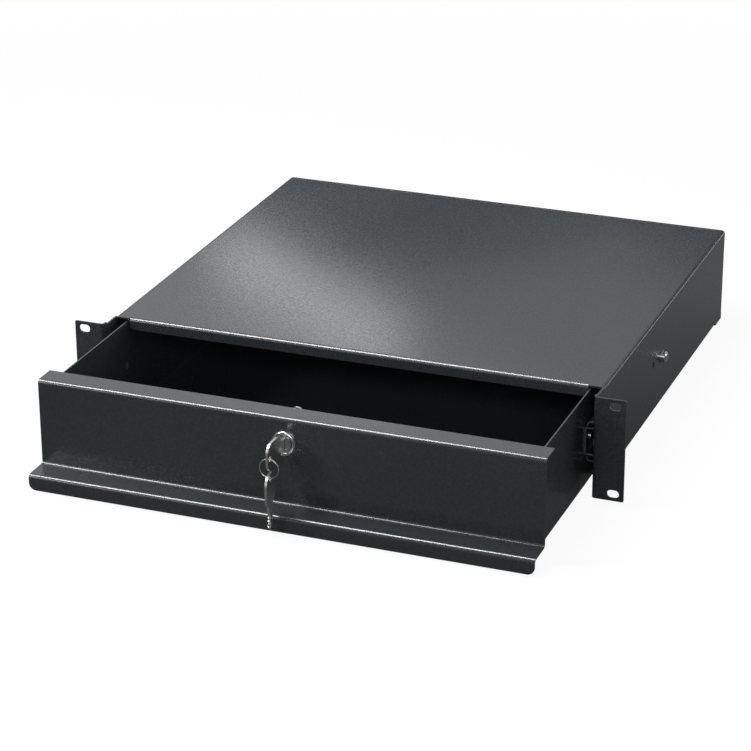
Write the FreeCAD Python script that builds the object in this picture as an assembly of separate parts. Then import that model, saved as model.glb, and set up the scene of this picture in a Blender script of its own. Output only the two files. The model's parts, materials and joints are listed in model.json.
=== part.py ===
import FreeCAD, Part
import math
import os

# X runs to the right seen from the front, Y to the rear, Z up. The origin is the middle of the
# four rack slots, on the ears' rear face. Every length is in millimetres.

# Rack interface, two units high
rack_width = 482.6
ear_reach = 25.3
slot_inset = 8.75
slot_pitch_z = 76.2
slot_length = 10.0
slot_height = 7.0
ear_height = 88.1

# Housing
sheet = 1.5
bend = 2.0
housing_depth = 410.0
top_drop = 1.8
cover_setback = 24.5
lip_inset = 13.5
lip_height = 10.0
lip_corner = 4.0
floor_flange = 8.0
floor_flange_start = 42.0
floor_flange_end_gap = 20.0
rear_flange = 13.0
rear_flange_gap = 6.0
top_flange_gap = 10.0
slide_screw_from_front = 199.0
spare_hole_radius = 3.0
spare_hole_ahead = 26.5
spare_hole_rise = 2.5

# Front panel
panel_gap = 0.5
flange_depth = 21.0
ledge_drop = 73.25
ledge_depth = 24.5
panel_height = 86.5
panel_corner = 6.0

# Drawer tray
tray_sheet = 1.2
tray_top_gap = 1.15
tray_floor_rise = 1.05
tray_front_drop = 1.6
tray_back_drop = 9.6
corner_gap = 0.3
drawn = 120.0

# Ball slides
slide_space = 9.5
slide_height = 35.0
slide_gauge = 1.1
slide_setback = 10.0
slide_rear_gap = 13.5
runner_rear_gap = 20.5
runner_length = 245.0
ball_radius = 2.0
race_gap = 0.2
cage_length = 91.0
cage_gauge = 0.5
cage_gap = 0.3
balls_per_row = 5
pocket_gap = 0.1
stop_tab = 1.2
stop_gap = 0.8

# Lock
lock_drop = 21.25
bezel_radius = 10.25
bezel_height = 2.5
barrel_radius = 8.0
barrel_flat = 7.0
barrel_length = 26.0
plug_radius = 6.5
turning_gap = 0.15
plug_inset = 0.5
cam_gap = 0.8
cam_gauge = 2.0
cam_width = 10.0
cam_reach = 19.3
cam_square = 2.8
wafer_width = 5.9
wafer_height = 11.2
wafer_gauge = 1.0
wafer_pitch = 2.6
wafer_depth = 0.8

# Keys and their ring
key_gauge = 2.0
blade_length = 21.5
blade_height = 7.0
blade_gap = 0.3
key_cuts = [1.6, 0.9, 1.9, 1.2, 0.8]
shoulder_height = 9.6
bow_length = 26.5
bow_height = 23.0
bow_corner = 8.0
bow_gap = 5.5
key_hole_radius = 2.2
key_hole_inset = 4.5
ring_radius = 7.6
wire_radius = 0.8
wire_gap = 0.2
spare_turn = 8.0

# Fasteners and bumpers
fit = 0.05
slide_screw_radius = 2.4
slide_head_radius = 4.9
slide_head_height = 3.7
washer_radius = 5.5
washer_gauge = 1.0
rear_screw_radius = 1.95
rear_screw_length = 6.0
rear_head_radius = 3.9
rear_head_height = 2.6
rear_screw_inset = 7.5
rear_screw_pitch_x = 220.0
rear_screw_pitch_z = 50.0
clinch_radius = 4.0
clinch_height = 2.2
clinch_collar = 2.65
cam_screw_radius = 1.85
cam_screw_length = 6.0
cam_head_radius = 4.6
cam_head_height = 2.8
stud_radius = 1.95
stud_length = 8.0
stud_inset = 24.0
stud_high = 25.0
stud_low = -20.0
weld_depth = 0.55
nut_across = 7.0
nut_height = 3.2
nut_flange_radius = 4.6
nut_flange_gauge = 0.9
lock_nut_across = 20.0
lock_nut_height = 3.5
rivet_radius = 1.95
rivet_head_radius = 4.0
rivet_head_height = 1.2
rivet_tail_radius = 3.0
rivet_inset = 12.0
bumper_radius = 6.0
bumper_length = 12.7
bumper_gap = 0.3
bumper_neck = 2.5
bumper_pitch = 300.0

front = -sheet
rear = front + housing_depth
ear_bottom = -ear_height / 2
housing_top = ear_height / 2 - top_drop
half_width = rack_width / 2 - ear_reach
slot_x = rack_width / 2 - slot_inset
wall_inner = half_width - sheet
tray_half = wall_inner - slide_space
tray_depth = rear - sheet - bumper_length - bumper_gap
slide_start = front + slide_setback
slide_end = rear - sheet - slide_rear_gap
runner_end = tray_depth - runner_rear_gap
runner_start = runner_end - runner_length
tray_bottom = ear_bottom + tray_floor_rise
tray_top = housing_top - sheet - tray_top_gap
panel_half = wall_inner - panel_gap
ledge_top = housing_top - ledge_drop
cover_front = front + cover_setback
lock_z = housing_top - lock_drop
ball_x = tray_half + slide_space / 2
ball_z = slide_height / 2 - slide_gauge - race_gap - ball_radius
cam_front = front + barrel_length + cam_gap
cage_out_start = slide_start + stop_tab + stop_gap
full_travel = runner_end - stop_tab - stop_gap - cage_length - cage_out_start
cage_start = cage_out_start + (full_travel - drawn) / 2
ball_step = cage_length / balls_per_row
ball_row = [cage_start + ball_step * (i + 0.5) for i in range(balls_per_row)]
bow_front = front - bezel_height - bow_gap
key_hole_y = bow_front - bow_length + key_hole_inset
wire_top_z = lock_z - key_hole_radius + wire_radius + wire_gap
wire_bottom_z = wire_top_z - 2 * ring_radius
rear_screw_x = half_width - rear_screw_inset
rear_screw_z = rear_screw_pitch_z / 2
rear_screw_spots = [(x, z) for x in (-rear_screw_x, rear_screw_x) for z in (-rear_screw_z, rear_screw_z)]
for x in (-rear_screw_pitch_x / 2, rear_screw_pitch_x / 2):
    rear_screw_spots.append((x, housing_top - rear_screw_inset))
bumper_spots = [(-bumper_pitch / 2, 0.0), (bumper_pitch / 2, 0.0)]
wafer_spots = [front + wafer_depth + wafer_pitch * i for i in range(len(key_cuts))]
stud_x = panel_half - stud_inset
stud_spots = [(x, z) for x in (-stud_x, stud_x) for z in (stud_low, stud_high)]
rivet_row = [runner_start + rivet_inset, (runner_start + runner_end) / 2, runner_end - rivet_inset]


def vec(x, y, z):
    return FreeCAD.Vector(x, y, z)


def box(x0, x1, y0, y1, z0, z1):
    return Part.makeBox(x1 - x0, y1 - y0, z1 - z0, vec(x0, y0, z0))


def rod(radius, start, end):
    return Part.makeCylinder(radius, (end - start).Length, start, end - start)


def rounded_edges(points, radii):
    edges = []
    start = points[0]
    for before, corner, after, radius in zip(points, points[1:], points[2:], radii):
        incoming = (corner - before).normalize()
        outgoing = (after - corner).normalize()
        first = corner - incoming * radius
        last = corner + outgoing * radius
        centre = first + outgoing * radius
        middle = centre + (corner - centre).normalize() * radius
        edges.append(Part.LineSegment(start, first).toShape())
        edges.append(Part.Arc(first, middle, last).toShape())
        start = last
    edges.append(Part.LineSegment(start, points[-1]).toShape())
    return edges


def folded(points, gauge, push):
    # A strip of sheet with right-angled bends. The points are on one face of it, and the sheet
    # lies on the side of push x direction of travel.
    unit = vec(push.x, push.y, push.z).normalize()
    runs = [(b - a).normalize() for a, b in zip(points, points[1:])]
    lefts = [unit.cross(run) * gauge for run in runs]
    other = [points[0] + lefts[0]]
    radii = []
    other_radii = []
    for corner, one, two, run, following in zip(points[1:], lefts, lefts[1:], runs, runs[1:]):
        other.append(corner + one + two)
        towards = unit.cross(run).dot(following) > 0
        radii.append(bend + gauge if towards else bend)
        other_radii.append(bend if towards else bend + gauge)
    other.append(points[-1] + lefts[-1])
    edges = rounded_edges(points, radii)
    edges.append(Part.LineSegment(points[-1], other[-1]).toShape())
    edges += rounded_edges(other[::-1], other_radii[::-1])
    edges.append(Part.LineSegment(other[0], points[0]).toShape())
    return Part.Face(Part.Wire(Part.__sortEdges__(edges))).extrude(push)


def fillet_where(shape, radius, test):
    edges = [edge for edge in shape.Edges if test(edge.CenterOfMass, edge)]
    return shape.makeFillet(radius, edges)


def along(edge, axis):
    direction = edge.Vertexes[-1].Point - edge.Vertexes[0].Point
    return edge.Length > 0 and abs(direction.dot(axis)) > 0.999 * edge.Length


def mirrored(shape):
    return shape.mirror(vec(0, 0, 0), vec(1, 0, 0))


def slot_cutter(x, z, length, height, y0, y1):
    straight = (length - height) / 2
    cutter = box(x - straight, x + straight, y0, y1, z - height / 2, z + height / 2)
    for side in (-1, 1):
        centre = x + side * straight
        cutter = cutter.fuse(rod(height / 2, vec(centre, y0, z), vec(centre, y1, z)))
    return cutter


def hexagon(across_flats, y0, y1, x, z):
    radius = across_flats / math.sqrt(3)
    points = [
        vec(x + radius * math.cos(math.radians(a)), y0, z + radius * math.sin(math.radians(a)))
        for a in range(0, 420, 60)
    ]
    return Part.Face(Part.makePolygon(points)).extrude(vec(0, y1 - y0, 0))


def pan_screw(shank_radius, shank, head_radius, head, place, axis):
    # The head stands on the plane through place, and axis points out of the work.
    body = rod(head_radius, place, place + axis * head)
    rim = [e for e in body.Edges if (e.CenterOfMass - place).dot(axis) > head * 0.99]
    body = body.makeChamfer(head * 0.35, rim)
    body = body.fuse(rod(shank_radius, place - axis * shank, place))
    across = vec(axis.y, axis.z, axis.x)
    other = axis.cross(across)
    for along_cross, thick in ((across, other), (other, across)):
        corner = place + axis * head * 0.45 - along_cross * head_radius * 0.55
        corner = corner - thick * head_radius * 0.11
        points = [
            corner,
            corner + along_cross * head_radius * 1.1,
            corner + along_cross * head_radius * 1.1 + thick * head_radius * 0.22,
            corner + thick * head_radius * 0.22,
            corner,
        ]
        body = body.cut(Part.Face(Part.makePolygon(points)).extrude(axis * head))
    return body


def group(shapes):
    return Part.makeCompound(shapes)


def housing_shell():
    top = housing_top
    outline = [
        vec(-half_width, cover_front, ear_bottom),
        vec(-half_width, cover_front, top),
        vec(half_width, cover_front, top),
        vec(half_width, cover_front, ear_bottom),
    ]
    shell_end = rear - sheet
    shell = folded(outline, sheet, vec(0, shell_end - cover_front, 0))

    bend_out = bend + sheet
    lip_half = half_width - lip_inset
    shell = shell.cut(box(-lip_half, lip_half, cover_front - 1, cover_front + 5, top - 5, top + 1))
    lip = folded(
        [
            vec(-lip_half, cover_front + 5, top),
            vec(-lip_half, cover_front, top),
            vec(-lip_half, cover_front, top - lip_height),
        ],
        sheet,
        vec(2 * lip_half, 0, 0),
    )
    lip = fillet_where(
        lip, lip_corner, lambda c, e: along(e, vec(0, 1, 0)) and c.z < top - lip_height + 0.1
    )
    shell = shell.fuse(lip)

    ear = folded(
        [
            vec(rack_width / 2, 0, ear_bottom),
            vec(half_width, 0, ear_bottom),
            vec(half_width, bend_out + 1, ear_bottom),
        ],
        sheet,
        vec(0, 0, ear_height),
    )
    ear = fillet_where(
        ear, 1.0, lambda c, e: along(e, vec(0, 1, 0)) and c.x > rack_width / 2 - 0.1
    )
    for z in (-slot_pitch_z / 2, slot_pitch_z / 2):
        ear = ear.cut(slot_cutter(slot_x, z, slot_length, slot_height, front - 1, 1))
    cheek = box(wall_inner, half_width, bend_out, cover_front + 1, ear_bottom, top)
    ear = ear.fuse(cheek)

    start = front + floor_flange_start
    end = shell_end - floor_flange_end_gap
    turn = half_width - floor_flange
    foot_cut = box(wall_inner - 1, half_width + 1, start, end, ear_bottom - 1, ear_bottom + 5)
    shell = shell.cut(foot_cut).cut(mirrored(foot_cut))
    flange = folded(
        [
            vec(half_width, start, ear_bottom + 5),
            vec(half_width, start, ear_bottom),
            vec(turn, start, ear_bottom),
        ],
        sheet,
        vec(0, end - start, 0),
    )

    low = ear_bottom + rear_flange_gap
    high = housing_top - rear_flange_gap
    back_cut = box(wall_inner - 1, half_width + 1, shell_end - 5, shell_end + 1, low, high)
    back = folded(
        [
            vec(half_width, shell_end - 5, low),
            vec(half_width, shell_end, low),
            vec(half_width - rear_flange, shell_end, low),
        ],
        sheet,
        vec(0, 0, high - low),
    )
    side = ear.fuse([flange, back])
    shell = shell.cut(back_cut).cut(mirrored(back_cut))
    top_back = half_width - top_flange_gap
    shell = shell.cut(box(-top_back, top_back, shell_end - 5, shell_end + 1, top - 5, top + 1))
    down = folded(
        [
            vec(top_back, shell_end - 5, top),
            vec(top_back, shell_end, top),
            vec(top_back, shell_end, top - rear_flange),
        ],
        sheet,
        vec(-2 * top_back, 0, 0),
    )
    shell = shell.fuse([side, mirrored(side), down]).removeSplitter()

    for x, z in rear_screw_spots:
        hole = rod(clinch_collar + fit, vec(x, shell_end - 5, z), vec(x, shell_end + 1, z))
        shell = shell.cut(hole)
    for side in (-1, 1):
        inner = side * (wall_inner - 1)
        outer = side * (half_width + 1)
        y = front + slide_screw_from_front
        shell = shell.cut(rod(slide_screw_radius + 0.15, vec(inner, y, 0), vec(outer, y, 0)))
        y -= spare_hole_ahead
        z = spare_hole_rise
        shell = shell.cut(rod(spare_hole_radius, vec(inner, y, z), vec(outer, y, z)))
    return shell


def rear_panel():
    half = half_width - 0.5
    y0 = rear - sheet
    panel = box(-half, half, y0, rear, ear_bottom + 0.5, housing_top - 0.5)
    panel = fillet_where(panel, 3.0, lambda c, e: along(e, vec(0, 1, 0)))
    for x, z in rear_screw_spots:
        panel = panel.cut(rod(rear_screw_radius + 0.25, vec(x, y0 - 1, z), vec(x, rear + 1, z)))
    for x, z in bumper_spots:
        panel = panel.cut(rod(bumper_neck + 0.1, vec(x, y0 - 1, z), vec(x, rear + 1, z)))
    return panel


def rear_screws():
    screws = []
    shank = (rear_screw_radius, rear_screw_length)
    head = (rear_head_radius, rear_head_height)
    for x, z in rear_screw_spots:
        screws.append(pan_screw(*shank, *head, vec(x, rear, z), vec(0, 1, 0)))
    return group(screws)


def rear_clinch_nuts():
    face = rear - 2 * sheet
    nuts = []
    for x, z in rear_screw_spots:
        start = face - clinch_height
        nut = rod(clinch_radius, vec(x, start, z), vec(x, face, z))
        nut = nut.fuse(rod(clinch_collar, vec(x, start, z), vec(x, face + 0.8 * sheet, z)))
        hole = rod(rear_screw_radius + fit, vec(x, start - 1, z), vec(x, rear, z))
        nuts.append(nut.cut(hole))
    return group(nuts)


def rear_bumpers():
    face = rear - sheet
    stop = face - bumper_length
    bumpers = []
    for x, z in bumper_spots:
        pad = rod(bumper_radius, vec(x, stop, z), vec(x, face, z))
        rim = [e for e in pad.Edges if e.CenterOfMass.y < stop + 0.1]
        pad = pad.makeChamfer(bumper_radius * 0.2, rim)
        pad = pad.fuse(rod(bumper_neck, vec(x, stop + 1, z), vec(x, rear + 0.5, z)))
        barb = 1.44 * bumper_neck
        tip = Part.makeCone(barb, 0.64 * bumper_neck, barb, vec(x, rear, z), vec(0, 1, 0))
        bumpers.append(pad.fuse(tip))
    return group(bumpers)


def race(centre_x, centre_z, start_angle, end_angle, y0, y1):
    # The curled edge of a slide, concentric with a ball.
    inner = ball_radius + race_gap
    outer = inner + slide_gauge

    def point(radius, angle):
        a = math.radians(angle)
        return vec(centre_x + radius * math.cos(a), y0, centre_z + radius * math.sin(a))

    middle = (start_angle + end_angle) / 2
    edges = [
        Part.Arc(
            point(inner, start_angle), point(inner, middle), point(inner, end_angle)
        ).toShape(),
        Part.LineSegment(point(inner, end_angle), point(outer, end_angle)).toShape(),
        Part.Arc(
            point(outer, end_angle), point(outer, middle), point(outer, start_angle)
        ).toShape(),
        Part.LineSegment(point(outer, start_angle), point(inner, start_angle)).toShape(),
    ]
    return Part.Face(Part.Wire(edges)).extrude(vec(0, y1 - y0, 0))


def slide_outer():
    y0 = slide_start
    y1 = slide_end
    high = slide_height / 2
    inner = wall_inner - slide_gauge
    profile = [
        box(inner, wall_inner, y0, y1, -high, high),
        box(ball_x, wall_inner, y0, y1, high - slide_gauge, high),
        box(ball_x, wall_inner, y0, y1, -high, slide_gauge - high),
        race(ball_x, ball_z, 90, 200, y0, y1),
        race(ball_x, -ball_z, 160, 270, y0, y1),
    ]
    member = profile[0].fuse(profile[1:]).removeSplitter()
    member = fillet_where(
        member,
        slide_gauge,
        lambda c, e: along(e, vec(0, 1, 0)) and c.x > wall_inner - 0.01 and abs(c.z) > high - 0.01,
    )
    y = front + slide_screw_from_front
    hole = rod(slide_screw_radius + fit, vec(inner - 1, y, 0), vec(wall_inner + 1, y, 0))
    member = member.cut(hole)
    y -= spare_hole_ahead
    z = spare_hole_rise
    hole = rod(spare_hole_radius - 0.5, vec(inner - 1, y, z), vec(wall_inner + 1, y, z))
    member = member.cut(hole)
    stop = box(wall_inner - 2.3 * slide_gauge, wall_inner, y0, y0 + stop_tab, -3, 3)
    return member.fuse(stop).removeSplitter()


def slide_inner():
    y0 = runner_start
    y1 = runner_end
    low = ball_z - ball_radius - race_gap
    base = low - slide_gauge
    web = tray_half + slide_gauge
    profile = [
        box(tray_half, web, y0, y1, -low, low),
        box(tray_half, ball_x, y0, y1, base, low),
        box(tray_half, ball_x, y0, y1, -low, -base),
        race(ball_x, ball_z, -90, -35, y0, y1),
        race(ball_x, -ball_z, 35, 90, y0, y1),
    ]
    runner = profile[0].fuse(profile[1:]).removeSplitter()
    runner = fillet_where(
        runner,
        slide_gauge,
        lambda c, e: along(e, vec(0, 1, 0)) and c.x < tray_half + 0.01 and abs(c.z) > low - 0.01,
    )
    for y in rivet_row:
        runner = runner.cut(rod(rivet_radius + fit, vec(tray_half - 1, y, 0), vec(web + 1, y, 0)))
    stop = box(tray_half, wall_inner - slide_gauge - cage_gap, y1 - stop_tab, y1, -4, 4)
    return runner.fuse(stop).removeSplitter().translated(vec(0, -drawn, 0))


def slide_rivets():
    rivets = []
    face = tray_half - tray_sheet
    web = tray_half + slide_gauge
    high = rivet_head_height
    dome = (rivet_head_radius**2 + high**2) / (2 * high)
    for y in [y - drawn for y in rivet_row]:
        head = Part.makeSphere(dome, vec(face - high + dome, y, 0))
        head = head.common(rod(rivet_head_radius, vec(face - high - 1, y, 0), vec(face, y, 0)))
        shank = rod(rivet_radius, vec(face - high / 2, y, 0), vec(web + 0.3, y, 0))
        tail = rod(rivet_tail_radius, vec(web, y, 0), vec(web + 1.0, y, 0))
        rivets.append(head.fuse([shank, tail]))
    return group(rivets + [mirrored(r) for r in rivets])


def ball_cage():
    y0 = cage_start
    y1 = y0 + cage_length
    pocket_radius = ball_radius + pocket_gap
    outer = wall_inner - slide_gauge - cage_gap
    edge = ball_z + cage_gauge / 2
    tip = ball_x - 1.7
    cage = box(outer - cage_gauge, outer, y0, y1, -edge, edge)
    for side in (-1, 1):
        z0, z1 = sorted((side * edge, side * (edge - cage_gauge)))
        cage = cage.fuse(box(tip, outer, y0, y1, z0, z1))
        for y in ball_row:
            pocket = rod(pocket_radius, vec(ball_x, y, z0 - 1), vec(ball_x, y, z1 + 1))
            mouth = box(tip - 1, ball_x, y - pocket_radius, y + pocket_radius, z0 - 1, z1 + 1)
            cage = cage.cut(pocket.fuse(mouth))
    half = ball_step / 2 - 2 * pocket_radius
    tall = ball_z - 2 * pocket_radius
    for y in ball_row[:-1]:
        middle = y + ball_step / 2
        cage = cage.cut(box(outer - 1, outer + 1, middle - half, middle + half, -tall, tall))
    return cage.removeSplitter()


def slide_balls():
    balls = []
    for y in ball_row:
        for z in (-ball_z, ball_z):
            balls.append(Part.makeSphere(ball_radius, vec(ball_x, y, z)))
    return group(balls)


def slide_screws():
    y = front + slide_screw_from_front
    place = vec(half_width + washer_gauge, y, 0)
    shank = (slide_screw_radius, washer_gauge + sheet + slide_gauge)
    screw = pan_screw(*shank, slide_head_radius, slide_head_height, place, vec(1, 0, 0))
    return group([screw, mirrored(screw)])


def slide_washers():
    y = front + slide_screw_from_front
    outside = half_width + washer_gauge
    washer = rod(washer_radius, vec(half_width, y, 0), vec(outside, y, 0))
    hole = rod(slide_screw_radius + 0.3, vec(half_width - 1, y, 0), vec(outside + 1, y, 0))
    washer = washer.cut(hole)
    return group([washer, mirrored(washer)])


def lock_opening(y0, y1):
    flat = barrel_flat + 0.1
    high = barrel_radius + 1
    opening = rod(barrel_radius + 0.1, vec(0, y0, lock_z), vec(0, y1, lock_z))
    return opening.common(box(-flat, flat, y0, y1, lock_z - high, lock_z + high))


def drawer_tray():
    # One sheet folded into the floor and both sides. The end walls are welded between the sides.
    tray = folded(
        [
            vec(tray_half, 0, tray_top),
            vec(tray_half, 0, tray_bottom),
            vec(-tray_half, 0, tray_bottom),
            vec(-tray_half, 0, tray_top),
        ],
        tray_sheet,
        vec(0, tray_depth, 0),
    )
    for y in rivet_row:
        for side in (-1, 1):
            near = vec(side * (tray_half - 3), y, 0)
            tray = tray.cut(rod(rivet_radius + fit, near, vec(side * (tray_half + 1), y, 0)))
    return tray.translated(vec(0, -drawn, 0))


def tray_wall(y, top):
    half = tray_half - tray_sheet
    wall = box(-half, half, y, y + tray_sheet, tray_bottom + tray_sheet, top)
    return fillet_where(
        wall, bend + corner_gap, lambda c, e: along(e, vec(0, 1, 0)) and c.z < tray_bottom + 5
    )


def tray_front_wall():
    wall = tray_wall(0, tray_top - tray_front_drop)
    wall = wall.cut(lock_opening(-1, tray_sheet + 1))
    for x, z in stud_spots:
        wall = wall.cut(rod(stud_radius + 0.25, vec(x, -1, z), vec(x, tray_sheet + 1, z)))
    return wall.translated(vec(0, -drawn, 0))


def tray_rear_wall():
    wall = tray_wall(tray_depth - tray_sheet, tray_top - tray_back_drop)
    return wall.translated(vec(0, -drawn, 0))


def front_panel():
    top = housing_top
    bottom = top - panel_height
    panel = folded(
        [
            vec(panel_half, front + flange_depth, top),
            vec(panel_half, front, top),
            vec(panel_half, front, ledge_top),
            vec(panel_half, front - ledge_depth, ledge_top),
            vec(panel_half, front - ledge_depth, bottom),
        ][::-1],
        sheet,
        vec(-2 * panel_half, 0, 0),
    )
    panel = fillet_where(
        panel, panel_corner, lambda c, e: along(e, vec(0, 1, 0)) and c.z < bottom + 0.1
    )
    panel = fillet_where(
        panel,
        1.0,
        lambda c, e: along(e, vec(0, 0, 1)) and c.y > front + flange_depth - 0.1,
    )
    panel = panel.cut(lock_opening(front - 1, 1))
    for x, z in stud_spots:
        panel = panel.cut(rod(stud_radius + fit, vec(x, -weld_depth - fit, z), vec(x, 1, z)))
    return panel.translated(vec(0, -drawn, 0))


def panel_studs():
    studs = []
    for x, z in stud_spots:
        stud = rod(stud_radius, vec(x, -weld_depth, z), vec(x, stud_length, z))
        studs.append(stud.translated(vec(0, -drawn, 0)))
    return group(studs)


def panel_nuts():
    nuts = []
    for x, z in stud_spots:
        nut = hexagon(nut_across, tray_sheet, tray_sheet + nut_height, x, z)
        seat = vec(x, tray_sheet, z)
        nut = nut.fuse(rod(nut_flange_radius, seat, seat + vec(0, nut_flange_gauge, 0)))
        nut = nut.cut(rod(stud_radius + fit, vec(x, 0, z), vec(x, stud_length, z)))
        nuts.append(nut.translated(vec(0, -drawn, 0)))
    return group(nuts)


def lock_body():
    bezel_front = front - bezel_height
    bezel = rod(bezel_radius, vec(0, bezel_front, lock_z), vec(0, front, lock_z))
    bezel = fillet_where(bezel, 1.4, lambda c, e: c.y < bezel_front + 0.1)
    barrel = rod(barrel_radius, vec(0, front, lock_z), vec(0, front + barrel_length, lock_z))
    barrel = barrel.common(
        box(-barrel_flat, barrel_flat, front, rear, lock_z - barrel_radius, lock_z + barrel_radius)
    )
    body = bezel.fuse(barrel)
    bore = plug_radius + turning_gap
    body = body.cut(
        rod(bore, vec(0, bezel_front - 1, lock_z), vec(0, front + barrel_length - 1.8, lock_z))
    )
    tail = vec(0, front + barrel_length + 1, lock_z)
    body = body.cut(rod(4.0 + turning_gap, vec(0, front, lock_z), tail))
    dish = Part.makeCone(bore + 1.4, bore, 1.4, vec(0, bezel_front, lock_z), vec(0, 1, 0))
    return body.cut(dish).translated(vec(0, -drawn, 0))


def lock_nut():
    end = tray_sheet + lock_nut_height
    nut = hexagon(lock_nut_across, tray_sheet, end, 0, lock_z)
    hole = rod(barrel_radius + fit, vec(0, 0, lock_z), vec(0, end + 1, lock_z))
    return nut.cut(hole).translated(vec(0, -drawn, 0))


def lock_plug():
    start = front - bezel_height + plug_inset
    shoulder = front + barrel_length - 2.0
    plug = rod(plug_radius, vec(0, start, lock_z), vec(0, shoulder, lock_z))
    plug = plug.fuse(rod(4.0, vec(0, shoulder - 1, lock_z), vec(0, cam_front, lock_z)))
    s = cam_square
    plug = plug.fuse(
        box(-s, s, cam_front - 1, cam_front + cam_gauge - 0.1, lock_z - s, lock_z + s)
    )
    wide = key_gauge / 2 + blade_gap
    high = blade_height / 2 + blade_gap
    keyway_end = bow_front + blade_length + 1.0
    plug = plug.cut(box(-wide, wide, start - 1, keyway_end, lock_z - high, lock_z + high))
    slot = wafer_width / 2 + fit
    low = lock_z - barrel_radius
    top = lock_z + barrel_radius
    for y in wafer_spots:
        plug = plug.cut(box(-slot, slot, y - fit, y + wafer_gauge + fit, low, top))
    tapped_end = cam_front + cam_gauge - cam_screw_length - 1.5
    tapped = rod(cam_screw_radius + fit, vec(0, tapped_end, lock_z), vec(0, rear, lock_z))
    return plug.cut(tapped).translated(vec(0, -drawn, 0))


def lock_wafers():
    wafers = []
    wide = key_gauge / 2 + blade_gap
    high = blade_height / 2
    half = wafer_width / 2
    low = lock_z - wafer_height / 2
    top = lock_z + wafer_height / 2
    for y, cut in zip(wafer_spots, key_cuts):
        wafer = box(-half, half, y, y + wafer_gauge, low, top)
        sill = lock_z - high + cut - fit
        window = box(-wide, wide, y - 1, y + wafer_gauge + 1, sill, lock_z + high + blade_gap)
        wafers.append(wafer.cut(window).translated(vec(0, -drawn, 0)))
    return group(wafers)


def lock_cam():
    y0 = cam_front
    y1 = cam_front + cam_gauge
    tip = lock_z + cam_reach - cam_width / 2
    cam = rod(7.0, vec(0, y0, lock_z), vec(0, y1, lock_z))
    cam = cam.fuse(box(-cam_width / 2, cam_width / 2, y0, y1, lock_z, tip))
    cam = cam.fuse(rod(cam_width / 2, vec(0, y0, tip), vec(0, y1, tip)))
    s = cam_square + fit
    cam = cam.cut(box(-s, s, y0 - 1, y1 + 1, lock_z - s, lock_z + s))
    return cam.removeSplitter().translated(vec(0, -drawn, 0))


def cam_screw():
    place = vec(0, cam_front + cam_gauge - drawn, lock_z)
    shank = (cam_screw_radius, cam_screw_length)
    return pan_screw(*shank, cam_head_radius, cam_head_height, place, vec(0, 1, 0))


def key_blank():
    # The hole is at the origin and the blade points along +Y.
    half = key_gauge / 2
    y0 = -key_hole_inset
    y1 = y0 + bow_length
    bow = box(-half, half, y0, y1, -bow_height / 2, bow_height / 2)
    bow = fillet_where(bow, bow_corner, lambda c, e: along(e, vec(1, 0, 0)))
    high = blade_height / 2
    tip = y1 + blade_length
    points = [
        vec(-half, y1 - 1, -high),
        vec(-half, tip - 2.5, -high),
        vec(-half, tip, -0.8),
        vec(-half, tip, 0.8),
        vec(-half, tip - 2.5, high),
        vec(-half, y1 - 1, high),
        vec(-half, y1 - 1, -high),
    ]
    key = bow.fuse(Part.Face(Part.makePolygon(points)).extrude(vec(key_gauge, 0, 0)))
    flat = wafer_gauge / 2 + 0.15
    mouth = wafer_pitch / 2 - 0.05
    for spot, cut in zip(wafer_spots, key_cuts):
        y = y1 + spot + wafer_gauge / 2 - bow_front
        notch = [
            vec(-half - 1, y - mouth, -high - 0.1),
            vec(-half - 1, y - flat, -high + cut),
            vec(-half - 1, y + flat, -high + cut),
            vec(-half - 1, y + mouth, -high - 0.1),
            vec(-half - 1, y - mouth, -high - 0.1),
        ]
        key = key.cut(Part.Face(Part.makePolygon(notch)).extrude(vec(key_gauge + 2, 0, 0)))
    groove = box(half - 0.5, half + 1, y1 + bow_gap, tip + 1, 0.4, 1.6)
    key = key.cut(groove)
    neck_end = y1 + bow_gap + plug_inset - fit
    tall = shoulder_height / 2
    key = key.fuse(box(-half, half, y1 - 2, neck_end, -tall, tall)).removeSplitter()
    return key.cut(rod(key_hole_radius, vec(-5, 0, 0), vec(5, 0, 0)))


def lock_key():
    return key_blank().translated(vec(0, key_hole_y - drawn, lock_z))


def key_ring():
    centre = vec(0, key_hole_y - drawn, wire_top_z - ring_radius)
    return Part.makeTorus(ring_radius, wire_radius, centre, vec(0, 1, 0))


def spare_key():
    key = key_blank()
    hang = key_hole_radius - wire_radius - wire_gap
    key.rotate(vec(0, 0, 0), vec(1, 0, 0), -90)
    key.rotate(vec(0, 0, 0), vec(0, 0, 1), spare_turn)
    return key.translated(vec(0, key_hole_y - drawn, wire_bottom_z - hang))


def export(name, shape):
    shape.exportStep("parts/" + name + ".step")
    print(name, len(shape.Solids), shape.isValid(), round(shape.Volume))


os.makedirs("parts", exist_ok=True)
export("housing_shell", housing_shell())
export("rear_panel", rear_panel())
export("rear_screws", rear_screws())
export("rear_clinch_nuts", rear_clinch_nuts())
export("rear_bumpers", rear_bumpers())
outer_member = slide_outer()
export("slide_outer_right", outer_member)
export("slide_outer_left", mirrored(outer_member))
export("slide_screws", slide_screws())
export("slide_washers", slide_washers())
inner_member = slide_inner()
export("slide_inner_right", inner_member)
export("slide_inner_left", mirrored(inner_member))
export("slide_rivets", slide_rivets())
cage = ball_cage()
export("ball_cage_right", cage)
export("ball_cage_left", mirrored(cage))
balls = slide_balls()
export("slide_balls_right", balls)
export("slide_balls_left", mirrored(balls))
export("drawer_tray", drawer_tray())
export("tray_front_wall", tray_front_wall())
export("tray_rear_wall", tray_rear_wall())
export("front_panel", front_panel())
export("panel_studs", panel_studs())
export("panel_nuts", panel_nuts())
export("lock_body", lock_body())
export("lock_nut", lock_nut())
export("lock_plug", lock_plug())
export("lock_wafers", lock_wafers())
export("lock_cam", lock_cam())
export("cam_screw", cam_screw())
export("lock_key", lock_key())
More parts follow.
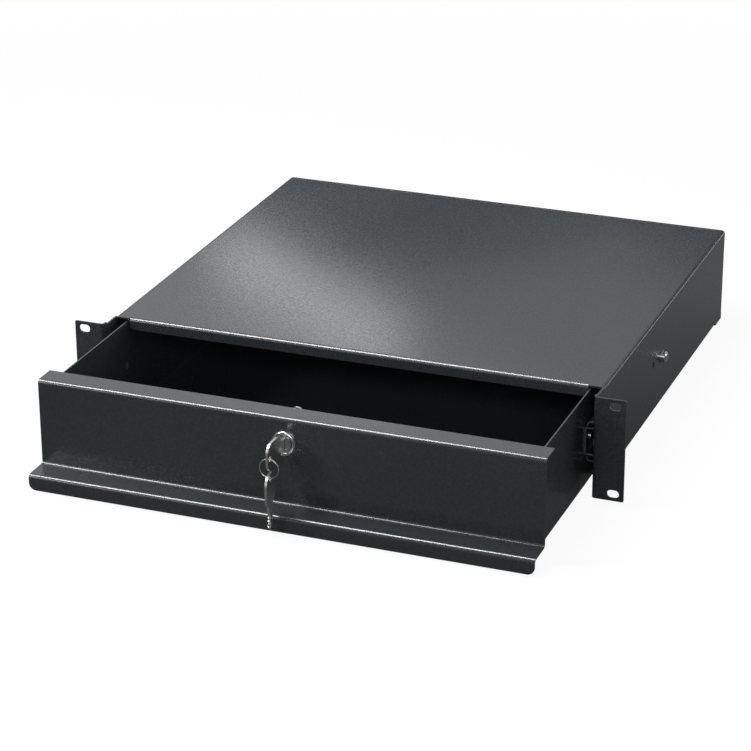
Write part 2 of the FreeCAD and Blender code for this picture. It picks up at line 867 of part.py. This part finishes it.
export("key_ring", key_ring())
export("spare_key", spare_key())
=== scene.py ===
import json
import math

import bmesh
import bpy
from mathutils import Matrix, Vector


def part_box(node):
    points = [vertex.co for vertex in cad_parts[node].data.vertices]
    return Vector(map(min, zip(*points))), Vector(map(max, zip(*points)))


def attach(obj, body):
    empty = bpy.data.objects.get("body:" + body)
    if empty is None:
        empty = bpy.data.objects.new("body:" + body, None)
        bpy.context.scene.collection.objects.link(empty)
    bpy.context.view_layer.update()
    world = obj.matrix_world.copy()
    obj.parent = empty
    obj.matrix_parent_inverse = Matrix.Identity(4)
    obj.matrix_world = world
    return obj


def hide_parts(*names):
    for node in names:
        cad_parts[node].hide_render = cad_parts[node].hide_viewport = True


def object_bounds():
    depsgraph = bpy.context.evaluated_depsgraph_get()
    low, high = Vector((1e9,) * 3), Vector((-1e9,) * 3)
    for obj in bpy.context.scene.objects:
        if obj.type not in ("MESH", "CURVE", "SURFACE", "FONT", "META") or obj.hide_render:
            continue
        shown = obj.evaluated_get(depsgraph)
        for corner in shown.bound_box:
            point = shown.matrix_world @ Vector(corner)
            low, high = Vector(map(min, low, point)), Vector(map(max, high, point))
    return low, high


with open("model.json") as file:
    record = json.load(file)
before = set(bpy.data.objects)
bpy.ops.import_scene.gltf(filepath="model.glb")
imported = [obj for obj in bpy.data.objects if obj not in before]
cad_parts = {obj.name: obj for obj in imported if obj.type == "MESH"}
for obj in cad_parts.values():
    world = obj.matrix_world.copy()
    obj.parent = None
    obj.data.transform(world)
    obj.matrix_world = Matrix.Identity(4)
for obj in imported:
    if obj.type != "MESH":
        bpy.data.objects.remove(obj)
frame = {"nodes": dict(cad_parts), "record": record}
cadBox = [list(corner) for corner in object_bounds()]
print("frame loaded:", len(frame["nodes"]), "nodes")

record = frame["record"]
bodyOf = {node: body for body, nodes in record["behaviour"]["bodies"].items() for node in nodes}
slotOf = {entry["node"]: entry["material_slot"] for entry in record["subparts"]}

mm = 0.001
up = Vector((0, 0, 1))
white = (1, 1, 1)


class Value:
    # A shader socket that can be used in a sum.
    def __init__(self, tree, socket):
        self.tree = tree
        self.socket = socket

    def maths(self, operation, *terms):
        return self.tree.add("ShaderNodeMath", dict(enumerate(terms)), operation=operation)

    def __add__(self, other):
        return self.maths("ADD", self, other)

    def __radd__(self, other):
        return self.maths("ADD", other, self)

    def __sub__(self, other):
        return self.maths("SUBTRACT", self, other)

    def __mul__(self, other):
        return self.maths("MULTIPLY", self, other)

    def __truediv__(self, other):
        return self.maths("DIVIDE", self, other)

    def __pow__(self, other):
        return self.maths("POWER", self, other)

    def sine(self):
        return self.maths("SINE", self)

    def atLeast(self, other):
        return self.maths("MAXIMUM", self, other)

    def atMost(self, other):
        return self.maths("MINIMUM", self, other)

    def centred(self):
        # Noise runs from 0 to 1; this puts its middle at 0.
        return self - 0.5

    def between(self, start, end):
        # 0 up to the start, 1 from the end on, and straight from one to the other.
        return ((self - start) / (end - start)).atLeast(0.0).atMost(1.0)


class ShaderTree:
    # The nodes of one material or of the world.
    def __init__(self, nodeTree):
        self.nodes = nodeTree.nodes
        self.links = nodeTree.links
        self.nodes.clear()

    def add(self, kind, inputs=None, output=0, **settings):
        node = self.nodes.new(kind)
        for key, value in settings.items():
            setattr(node, key, value)
        for key, value in (inputs or {}).items():
            if isinstance(value, Value):
                self.links.new(value.socket, node.inputs[key])
            else:
                node.inputs[key].default_value = value
        return Value(self, node.outputs[output]) if len(node.outputs) else None

    def place(self):
        return self.add("ShaderNodeTexCoord", output="Object")

    def coordinate(self, axis):
        return self.add("ShaderNodeSeparateXYZ", {"Vector": self.place()}, output=axis)

    def mapped(self, **inputs):
        return self.add("ShaderNodeMapping", {"Vector": self.place(), **inputs})

    def noise(self, scale, detail, roughness=0.5, vector=None):
        inputs = {"Scale": scale, "Detail": detail, "Roughness": roughness}
        return self.add("ShaderNodeTexNoise", {"Vector": vector or self.place(), **inputs})

    def brushed(self, scale):
        # Noise drawn out along one axis, as rolling or brushing leaves it.
        return self.noise(1.0, 2, vector=self.mapped(Scale=scale))

    def ray(self, kind):
        return self.add("ShaderNodeLightPath", output="Is %s Ray" % kind)

    def blend(self, factor, first, second):
        inputs = {0: factor, 6: rgba(first), 7: rgba(second)}
        return self.add("ShaderNodeMix", inputs, output=2, data_type="RGBA")

    def bump(self, height, strength, depth):
        inputs = {"Height": height, "Strength": strength, "Distance": depth * mm}
        return self.add("ShaderNodeBump", inputs)

    def finish(self, shader):
        self.add("ShaderNodeOutputMaterial", {"Surface": shader})

    def finishPrincipled(self, inputs):
        self.finish(self.add("ShaderNodeBsdfPrincipled", inputs))


def newMaterial(name):
    material = bpy.data.materials.new(name)
    material.use_nodes = True
    return material, ShaderTree(material.node_tree)


def rgba(colour):
    return (*colour, 1.0)


def darker(colour, share):
    return [channel * share for channel in colour]


# Depths of grain, lines and marks are in millimetres.
powderCoat = {
    "dark": (0.0090, 0.0115, 0.0135),
    "light": (0.0380, 0.0430, 0.0455),
    "grainScale": 430,
    "grainEdge": 0.62,
    "peelScale": 170,
    "peelHeight": 0.35,
    "driftScale": 7,
    "driftShare": 0.25,
    "roughness": 0.25,
    "grainSwing": 0.32,
    "driftSwing": 0.05,
    "specular": 0.95,
    "bumpStrength": 0.55,
    "grainDepth": 0.10,
}
# The drawer's coat is smoother than the housing's.
drawerCoat = dict(powderCoat, grainSwing=0.10, grainDepth=0.03)


def makePowderCoat(name, look):
    material, tree = newMaterial(name)
    grain = tree.noise(look["grainScale"], 3, look["grainEdge"])
    peel = tree.noise(look["peelScale"], 1)
    drift = tree.noise(look["driftScale"], 1)
    tone = grain * (1 - look["driftShare"]) + drift * look["driftShare"]
    swing = grain.centred() * look["grainSwing"] + drift.centred() * look["driftSwing"]
    height = grain + peel * look["peelHeight"]
    tree.finishPrincipled({
        "Base Color": tree.blend(tone, look["dark"], look["light"]),
        "Roughness": look["roughness"] + swing,
        "Specular IOR Level": look["specular"],
        "Normal": tree.bump(height, look["bumpStrength"], look["grainDepth"]),
    })
    return material


zincPlate = {
    "colour": (0.60, 0.61, 0.62),
    "stain": (0.50, 0.50, 0.47),
    "cloudScale": 45,
    "lineScale": (900, 12, 900),
    "roughness": 0.30,
    "cloudSwing": 0.18,
    "lineSwing": 0.08,
    "bumpStrength": 0.3,
    "lineDepth": 0.01,
}


def makeZinc(name, look):
    material, tree = newMaterial(name)
    lines = tree.brushed(look["lineScale"])
    cloud = tree.noise(look["cloudScale"], 2)
    swing = cloud.centred() * look["cloudSwing"] + lines.centred() * look["lineSwing"]
    tree.finishPrincipled({
        "Base Color": tree.blend(cloud, look["stain"], look["colour"]),
        "Metallic": 1.0,
        "Roughness": look["roughness"] + swing,
        "Normal": tree.bump(lines, look["bumpStrength"], look["lineDepth"]),
    })
    return material


lockChrome = {
    "colour": (0.74, 0.74, 0.76),
    "clouded": 0.92,
    "cloudScale": 220,
    "roughness": 0.17,
    "cloudRoughness": 0.08,
    "turningMarks": 26000,
    "bumpStrength": 0.12,
    "markDepth": 0.004,
}


def makeTurnedChrome(name, look, centre):
    # Fine marks run in circles round the lock's axis.
    material, tree = newMaterial(name)
    shifted = tree.mapped(Location=(-centre.x, 0, -centre.z))
    across = tree.add("ShaderNodeVectorMath", {0: shifted, 1: (1, 0, 1)}, operation="MULTIPLY")
    radius = tree.add("ShaderNodeVectorMath", {0: across}, "Value", operation="LENGTH")
    marks = (radius * look["turningMarks"]).sine()
    cloud = tree.noise(look["cloudScale"], 2)
    colour = look["colour"]
    tree.finishPrincipled({
        "Base Color": tree.blend(cloud, colour, darker(colour, look["clouded"])),
        "Metallic": 1.0,
        "Roughness": look["roughness"] + cloud * look["cloudRoughness"],
        "Normal": tree.bump(marks, look["bumpStrength"], look["markDepth"]),
    })
    return material


keyNickel = {
    "colour": (0.74, 0.73, 0.70),
    "clouded": 0.88,
    "cloudScale": 300,
    "scratchScale": (1800, 70, 1800),
    "roughness": 0.24,
    "scratchRoughness": 0.10,
    "cloudRoughness": 0.06,
    "bumpStrength": 0.25,
    "scratchDepth": 0.006,
}


def makeNickel(name, look):
    material, tree = newMaterial(name)
    scratches = tree.brushed(look["scratchScale"])
    cloud = tree.noise(look["cloudScale"], 2)
    wear = scratches * look["scratchRoughness"] + cloud * look["cloudRoughness"]
    colour = look["colour"]
    tree.finishPrincipled({
        "Base Color": tree.blend(cloud, colour, darker(colour, look["clouded"])),
        "Metallic": 1.0,
        "Roughness": look["roughness"] + wear,
        "Normal": tree.bump(scratches, look["bumpStrength"], look["scratchDepth"]),
    })
    return material


bearingSteel = {
    "colour": (0.68, 0.68, 0.69),
    "clouded": 0.8,
    "cloudScale": 260,
    "roughness": 0.12,
    "cloudSwing": 0.12,
    "bumpStrength": 0.2,
    "cloudDepth": 0.01,
}
waferBrass = dict(bearingSteel, colour=(0.60, 0.46, 0.20), roughness=0.32)


def makePlainMetal(name, look):
    material, tree = newMaterial(name)
    cloud = tree.noise(look["cloudScale"], 3)
    colour = look["colour"]
    tree.finishPrincipled({
        "Base Color": tree.blend(cloud, colour, darker(colour, look["clouded"])),
        "Metallic": 1.0,
        "Roughness": look["roughness"] + cloud.centred() * look["cloudSwing"],
        "Normal": tree.bump(cloud, look["bumpStrength"], look["cloudDepth"]),
    })
    return material


bumperRubber = {
    "dark": (0.012, 0.012, 0.012),
    "light": (0.028, 0.028, 0.027),
    "grainScale": 1500,
    "roughness": 0.62,
    "grainRoughness": 0.2,
    "specular": 0.4,
    "bumpStrength": 0.5,
    "grainDepth": 0.04,
}


def makeRubber(name, look):
    material, tree = newMaterial(name)
    grain = tree.noise(look["grainScale"], 3)
    tree.finishPrincipled({
        "Base Color": tree.blend(grain, look["dark"], look["light"]),
        "Roughness": look["roughness"] + grain * look["grainRoughness"],
        "Specular IOR Level": look["specular"],
        "Normal": tree.bump(grain, look["bumpStrength"], look["grainDepth"]),
    })
    return material


lockLow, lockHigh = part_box("lock_body")
lockCentre = (lockLow + lockHigh) / 2
materials = {
    "housing_coat": makePowderCoat("housing_powder_coat", powderCoat),
    "drawer_coat": makePowderCoat("drawer_powder_coat", drawerCoat),
    "zinc_steel": makeZinc("zinc_plate", zincPlate),
    "lock_chrome": makeTurnedChrome("turned_chrome", lockChrome, lockCentre),
    "key_nickel": makeNickel("key_nickel_plate", keyNickel),
    "polished_steel": makePlainMetal("bearing_steel", bearingSteel),
    "brass_wafers": makePlainMetal("stamped_brass", waferBrass),
    "black_rubber": makeRubber("bumper_rubber", bumperRubber),
}
for node, part in frame["nodes"].items():
    part.data.materials.clear()
    part.data.materials.append(materials[slotOf[node]])
print("materials made:", len(materials))


def addObject(name, data):
    thing = bpy.data.objects.new(name, data)
    bpy.context.scene.collection.objects.link(thing)
    return thing


def standFor(node, piece):
    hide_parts(node)
    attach(piece, bodyOf[node])


# Widths in millimetres of the worn edge on each node.
softEdges = {
    "housing_shell": 0.40,
    "drawer_tray": 0.24,
    "tray_front_wall": 0.24,
    "tray_rear_wall": 0.24,
    "front_panel": 0.45,
    "rear_panel": 0.25,
    "slide_outer_left": 0.12,
    "slide_outer_right": 0.12,
    "slide_inner_left": 0.12,
    "slide_inner_right": 0.12,
    "slide_screws": 0.10,
    "slide_washers": 0.12,
    "rear_screws": 0.10,
    "slide_rivets": 0.10,
    "ball_cage_left": 0.08,
    "ball_cage_right": 0.08,
    "panel_nuts": 0.15,
    "panel_studs": 0.15,
    "rear_clinch_nuts": 0.15,
    "rear_bumpers": 0.25,
    "lock_body": 0.12,
    "lock_nut": 0.20,
    "lock_plug": 0.12,
    "lock_cam": 0.15,
    "cam_screw": 0.10,
    "lock_key": 0.22,
    "spare_key": 0.22,
}
edgeSteps = 2
sharpAngle = math.radians(38)
flatAngle = math.radians(0.6)
joinDistance = 0.001 * mm


def joinedForm(node):
    form = bmesh.new()
    form.from_mesh(frame["nodes"][node].data)
    bmesh.ops.remove_doubles(form, verts=form.verts, dist=joinDistance)
    return form


def softenEdges(node, width):
    # The node's own shape, joined up, with worn edges and smooth bends.
    form = joinedForm(node)
    bmesh.ops.dissolve_limit(form, angle_limit=flatAngle, verts=form.verts, edges=form.edges)
    for face in form.faces:
        face.smooth = True
    mesh = frame["nodes"][node].data.copy()
    form.to_mesh(mesh)
    form.free()
    piece = addObject(node + "_surface", mesh)
    edge = piece.modifiers.new("soft_edges", "BEVEL")
    edge.width = width * mm
    edge.segments = edgeSteps
    edge.limit_method = "ANGLE"
    edge.angle_limit = sharpAngle
    edge.use_clamp_overlap = True
    edge.miter_outer = "MITER_ARC"
    normals = piece.modifiers.new("flat_faces_stay_flat", "WEIGHTED_NORMAL")
    normals.mode = "FACE_AREA"
    normals.weight = 80
    standFor(node, piece)


for node, width in softEdges.items():
    softenEdges(node, width)
print("edges softened on", len(softEdges), "nodes")


def newGroup(name, values):
    # A Geometry Nodes group with one input for each value.
    group = bpy.data.node_groups.new(name, "GeometryNodeTree")
    group.interface.new_socket("Geometry", in_out="INPUT", socket_type="NodeSocketGeometry")
    for label, value in values.items():
        kind = "NodeSocketInt" if isinstance(value, int) else "NodeSocketFloat"
        group.interface.new_socket(label, in_out="INPUT", socket_type=kind)
    group.interface.new_socket("Geometry", in_out="OUTPUT", socket_type="NodeSocketGeometry")
    return group


class GeometryTree:
    # The nodes of one Geometry Nodes group.
    def __init__(self, group):
        self.group = group
        self.source = group.nodes.new("NodeGroupInput")
        self.target = group.nodes.new("NodeGroupOutput")

    def given(self, label):
        return self.source.outputs[label]

    def add(self, kind, **inputs):
        # An input's name is written with _ for each space.
        node = self.group.nodes.new(kind)
        for key, value in inputs.items():
            socket = node.inputs[key.replace("_", " ")]
            if isinstance(value, bpy.types.NodeSocket):
                self.group.links.new(value, socket)
            else:
                socket.default_value = value
        return node.outputs

    def finish(self, geometry, material):
        real = self.add("GeometryNodeRealizeInstances", Geometry=geometry)["Geometry"]
        smooth = self.add("GeometryNodeSetShadeSmooth", Geometry=real)["Geometry"]
        coloured = self.add("GeometryNodeSetMaterial", Geometry=smooth, Material=material)
        self.group.links.new(coloured["Geometry"], self.target.inputs["Geometry"])


def grown(name, group, values, points=()):
    # Runs the group on the points and keeps the result as a plain mesh.
    seedMesh = bpy.data.meshes.new(name + "_points")
    seedMesh.from_pydata([tuple(point) for point in points], [], [])
    seed = addObject(name + "_points", seedMesh)
    modifier = seed.modifiers.new("grow", "NODES")
    modifier.node_group = group
    for item in group.interface.items_tree:
        if item.in_out == "INPUT" and item.name in values:
            modifier[item.identifier] = values[item.name]
    graph = bpy.context.evaluated_depsgraph_get()
    mesh = bpy.data.meshes.new_from_object(seed.evaluated_get(graph), depsgraph=graph)
    bpy.data.objects.remove(seed)
    return addObject(name, mesh)


splitRing = {
    "turns": 2.0,
    "wireWidth": 0.72,
    "wireSides": 10,
    "stepsPerTurn": 56,
}


def makeSplitRing(look):
    # Two turns of wire, one behind the other, inside the solid ring's own space.
    low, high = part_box("key_ring")
    wire = look["wireWidth"] * mm
    rise = high.y - low.y - wire
    values = {
        "Radius": (high.x - low.x - wire) / 2,
        "Rise": rise,
        "Turns": look["turns"],
        "Wire": wire / 2,
    }
    group = newGroup("split_ring", values)
    tree = GeometryTree(group)
    helix = tree.add(
        "GeometryNodeCurveSpiral",
        Resolution=int(look["stepsPerTurn"] * look["turns"]),
        Rotations=tree.given("Turns"),
        Start_Radius=tree.given("Radius"),
        End_Radius=tree.given("Radius"),
        Height=tree.given("Rise"),
    )
    profile = tree.add(
        "GeometryNodeCurvePrimitiveCircle",
        Resolution=look["wireSides"],
        Radius=tree.given("Wire"),
    )
    tube = tree.add(
        "GeometryNodeCurveToMesh",
        Curve=helix["Curve"],
        Profile_Curve=profile["Curve"],
        Fill_Caps=True,
    )
    tree.finish(tube["Mesh"], materials[slotOf["key_ring"]])
    ring = grown("split_ring", group, values)
    start = (low + high) / 2 - Vector((0, rise / 2, 0))
    turn = Matrix.Rotation(math.radians(-90), 4, "X")
    ring.data.transform(Matrix.Translation(start) @ turn)
    standFor("key_ring", ring)


bearingBalls = {
    "rows": 2,
    "segments": 20,
    "rings": 12,
}


def makeBalls(node, look):
    low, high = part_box(node)
    radius = (high.x - low.x) / 2
    count = islandCount(node) // look["rows"]
    step = (high.y - low.y - 2 * radius) / (count - 1)
    points = [
        (low.x + radius, low.y + radius + step * index, z)
        for z in (low.z + radius, high.z - radius)
        for index in range(count)
    ]
    values = {"Radius": radius, "Segments": look["segments"], "Rings": look["rings"]}
    group = newGroup(node + "_group", values)
    tree = GeometryTree(group)
    ball = tree.add(
        "GeometryNodeMeshUVSphere",
        Radius=tree.given("Radius"),
        Segments=tree.given("Segments"),
        Rings=tree.given("Rings"),
    )
    cloud = tree.add("GeometryNodeMeshToPoints", Mesh=tree.given("Geometry"))
    spread = tree.add(
        "GeometryNodeInstanceOnPoints",
        Points=cloud["Points"],
        Instance=ball["Mesh"],
    )
    tree.finish(spread["Instances"], materials[slotOf[node]])
    standFor(node, grown(node + "_surface", group, values, points))


def islandCount(node):
    # How many separate solids the node's mesh holds.
    form = joinedForm(node)
    seen = set()
    islands = 0
    for vert in form.verts:
        if vert.index in seen:
            continue
        islands += 1
        waiting = [vert]
        while waiting:
            current = waiting.pop()
            if current.index in seen:
                continue
            seen.add(current.index)
            waiting.extend(edge.other_vert(current) for edge in current.link_edges)
    form.free()
    return islands


makeSplitRing(splitRing)
for node in ("slide_balls_left", "slide_balls_right"):
    makeBalls(node, bearingBalls)
print("ring and balls made")


# Angles in radians and lengths in millimetres. The camera faces the frame's origin from this
# distance, and is then moved aside and up without turning.
camera = {
    "yaw": 0.36998,
    "pitch": 0.40659,
    "roll": -0.00465,
    "distance": 2231.18,
    "aside": 27.586,
    "above": 26.774,
    "focalPixels": 2719.16,
    "imagePixels": 751,
    "sensor": 36.0,
    "farthest": 50,
}


def makeCamera(look):
    yaw, pitch = look["yaw"], look["pitch"]
    back = Vector((
        math.sin(yaw) * math.cos(pitch),
        -math.cos(yaw) * math.cos(pitch),
        math.sin(pitch),
    ))
    right = up.cross(back).normalized()
    above = back.cross(right)
    place = back * look["distance"] + right * look["aside"] + above * look["above"]
    turn = Matrix((right, above, back)).transposed() @ Matrix.Rotation(look["roll"], 3, "Z")
    data = bpy.data.cameras.new("product_camera")
    data.sensor_width = look["sensor"]
    data.lens = look["focalPixels"] * look["sensor"] / look["imagePixels"]
    data.clip_end = look["farthest"]
    eye = addObject("product_camera", data)
    eye.matrix_world = Matrix.Translation(place * mm) @ turn.to_4x4()
    bpy.context.scene.camera = eye
    return eye.matrix_world.translation


cameraPlace = makeCamera(camera)


def addLamp(name, place, axes, size, radiance):
    data = bpy.data.lights.new(name, "AREA")
    data.shape = "RECTANGLE"
    data.size, data.size_y = size
    data.energy = radiance * size[0] * size[1] * math.pi
    lamp = addObject(name, data)
    lamp.matrix_world = Matrix.Translation(place) @ axes.to_4x4()
    lamp.visible_camera = False


# Places and sizes in metres from here on.
softboxes = {
    "key": {
        "place": (-1.4569, -1.6268, 0.9955),
        "size": (0.30, 0.30),
        "radiance": 49.515,
    },
    "overhead": {
        "place": (-0.60, -0.20, 1.5),
        "aim": (-0.3, 0, 0),
        "size": (0.30, 1.2),
        "radiance": 27,
    },
    "fill": {
        "place": (0.75, -2.10, 1.05),
        "size": (1.3, 0.60),
        "radiance": 8.2,
    },
    "side": {
        "place": (2.0, 1.1, 0.55),
        "size": (1.2, 0.8),
        "radiance": 5.0,
    },
    "back": {
        "place": (0.2, 2.3, 0.06),
        "size": (3.0, 0.20),
        "radiance": 2.2,
    },
}


def makeSoftbox(name, look):
    aim = Vector(look.get("aim", (0, 0, 0)))
    place = Vector(look["place"])
    axes = (aim - place).to_track_quat("-Z", "Y").to_matrix()
    addLamp(name + "_softbox", place, axes, look["size"], look["radiance"])


# The cover mirrors a bright wall, whose edge shows from sheenStart to sheenEnd, two points on
# the cover. Each panel lies along that edge, between two shares of its length, on its near
# side (1) or its far side (-1).
sheenStart = (-0.180, 0.240)
sheenEnd = (0.052, 0.045)
sheenDistance = 0.45
sheenPanels = {
    "wall_softbox": {"from": -0.8, "to": 2.6, "side": 1, "width": 0.50, "radiance": 0.62},
    "tube_light": {"from": -0.05, "to": 1.05, "side": 1, "width": 0.075, "radiance": 2.15},
    "far_panel": {"from": 0.5, "to": 2.2, "side": -1, "width": 0.36, "radiance": 0.36},
}


def reflectedIn(coverPoint):
    # A place that the camera sees mirrored at this point of the flat cover.
    line = (coverPoint - cameraPlace).normalized()
    return coverPoint + Vector((line.x, line.y, -line.z)) * sheenDistance


def makeSheen(panels):
    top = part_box("housing_shell")[1].z
    start = reflectedIn(Vector((*sheenStart, top)))
    run = reflectedIn(Vector((*sheenEnd, top))) - start
    outward = up.cross(run).normalized()
    if outward.x > 0:
        outward.negate()
    axes = Matrix((outward.cross(up), outward, up)).transposed()
    for name, panel in panels.items():
        middle = run * (panel["from"] + panel["to"]) / 2
        centre = start + middle + outward * (panel["side"] * panel["width"] / 2)
        length = run.length * (panel["to"] - panel["from"])
        addLamp(name, centre, axes, (length, panel["width"]), panel["radiance"])


for name, look in softboxes.items():
    makeSoftbox(name, look)
makeSheen(sheenPanels)

# The camera sees pale paper with a glow that keeps it white and lets a faint shadow show near
# the object. Light that bounces meets a dark floor, and the floor that metal mirrors grows
# brighter towards the rear.
floor = {
    "size": 6.0,
    "gap": 0.0015,
    "pale": (0.85, 0.85, 0.85),
    "dark": (0.04, 0.04, 0.042),
    "glow": 0.93,
    "shadowFrom": 0.55,
    "shadowTo": 1.5,
    "mirroredNear": 0.06,
    "mirroredRise": 0.12,
    "riseFrom": 0.08,
    "riseTo": 0.50,
}


def makePaper(look):
    material, tree = newMaterial("studio_floor")
    direct, mirror, glass = [tree.ray(kind) for kind in ("Camera", "Glossy", "Transmission")]
    x, y = tree.coordinate("X"), tree.coordinate("Y")
    away = ((x * x + y * y) ** 0.5).between(look["shadowFrom"], look["shadowTo"])
    seen = away * (1.0 - look["glow"]) + look["glow"]
    rearward = y.between(look["riseFrom"], look["riseTo"])
    mirrored = rearward * look["mirroredRise"] + look["mirroredNear"]
    share = (direct * seen + (mirror + glass) * mirrored).atMost(1.0)
    colour = tree.blend(direct, look["dark"], look["pale"])
    paper = tree.add("ShaderNodeBsdfDiffuse", {"Color": colour})
    light = tree.add("ShaderNodeEmission", {"Color": rgba(white), "Strength": 1.0})
    tree.finish(tree.add("ShaderNodeMixShader", {0: share, 1: paper, 2: light}))
    return material


def makeFloor(look):
    bottom = cadBox[0][2] - look["gap"]
    half = look["size"] / 2
    corners = [(-half, -half), (half, -half), (half, half), (-half, half)]
    mesh = bpy.data.meshes.new("studio_floor")
    mesh.from_pydata([(x, y, bottom) for x, y in corners], [], [(0, 1, 2, 3)])
    mesh.materials.append(makePaper(look))
    addObject("studio_floor", mesh)


ambientLight = (0.1152, 0.12, 0.1248)


def makeWorld(ambient):
    world = bpy.data.worlds.new("studio_world")
    bpy.context.scene.world = world
    world.use_nodes = True
    tree = ShaderTree(world.node_tree)
    colour = tree.blend(tree.ray("Camera"), ambient, white)
    shine = tree.add("ShaderNodeBackground", {"Color": colour, "Strength": 1.0})
    tree.add("ShaderNodeOutputWorld", {"Surface": shine})


makeFloor(floor)
makeWorld(ambientLight)
bpy.context.scene.view_settings.view_transform = "Standard"
print("studio made")
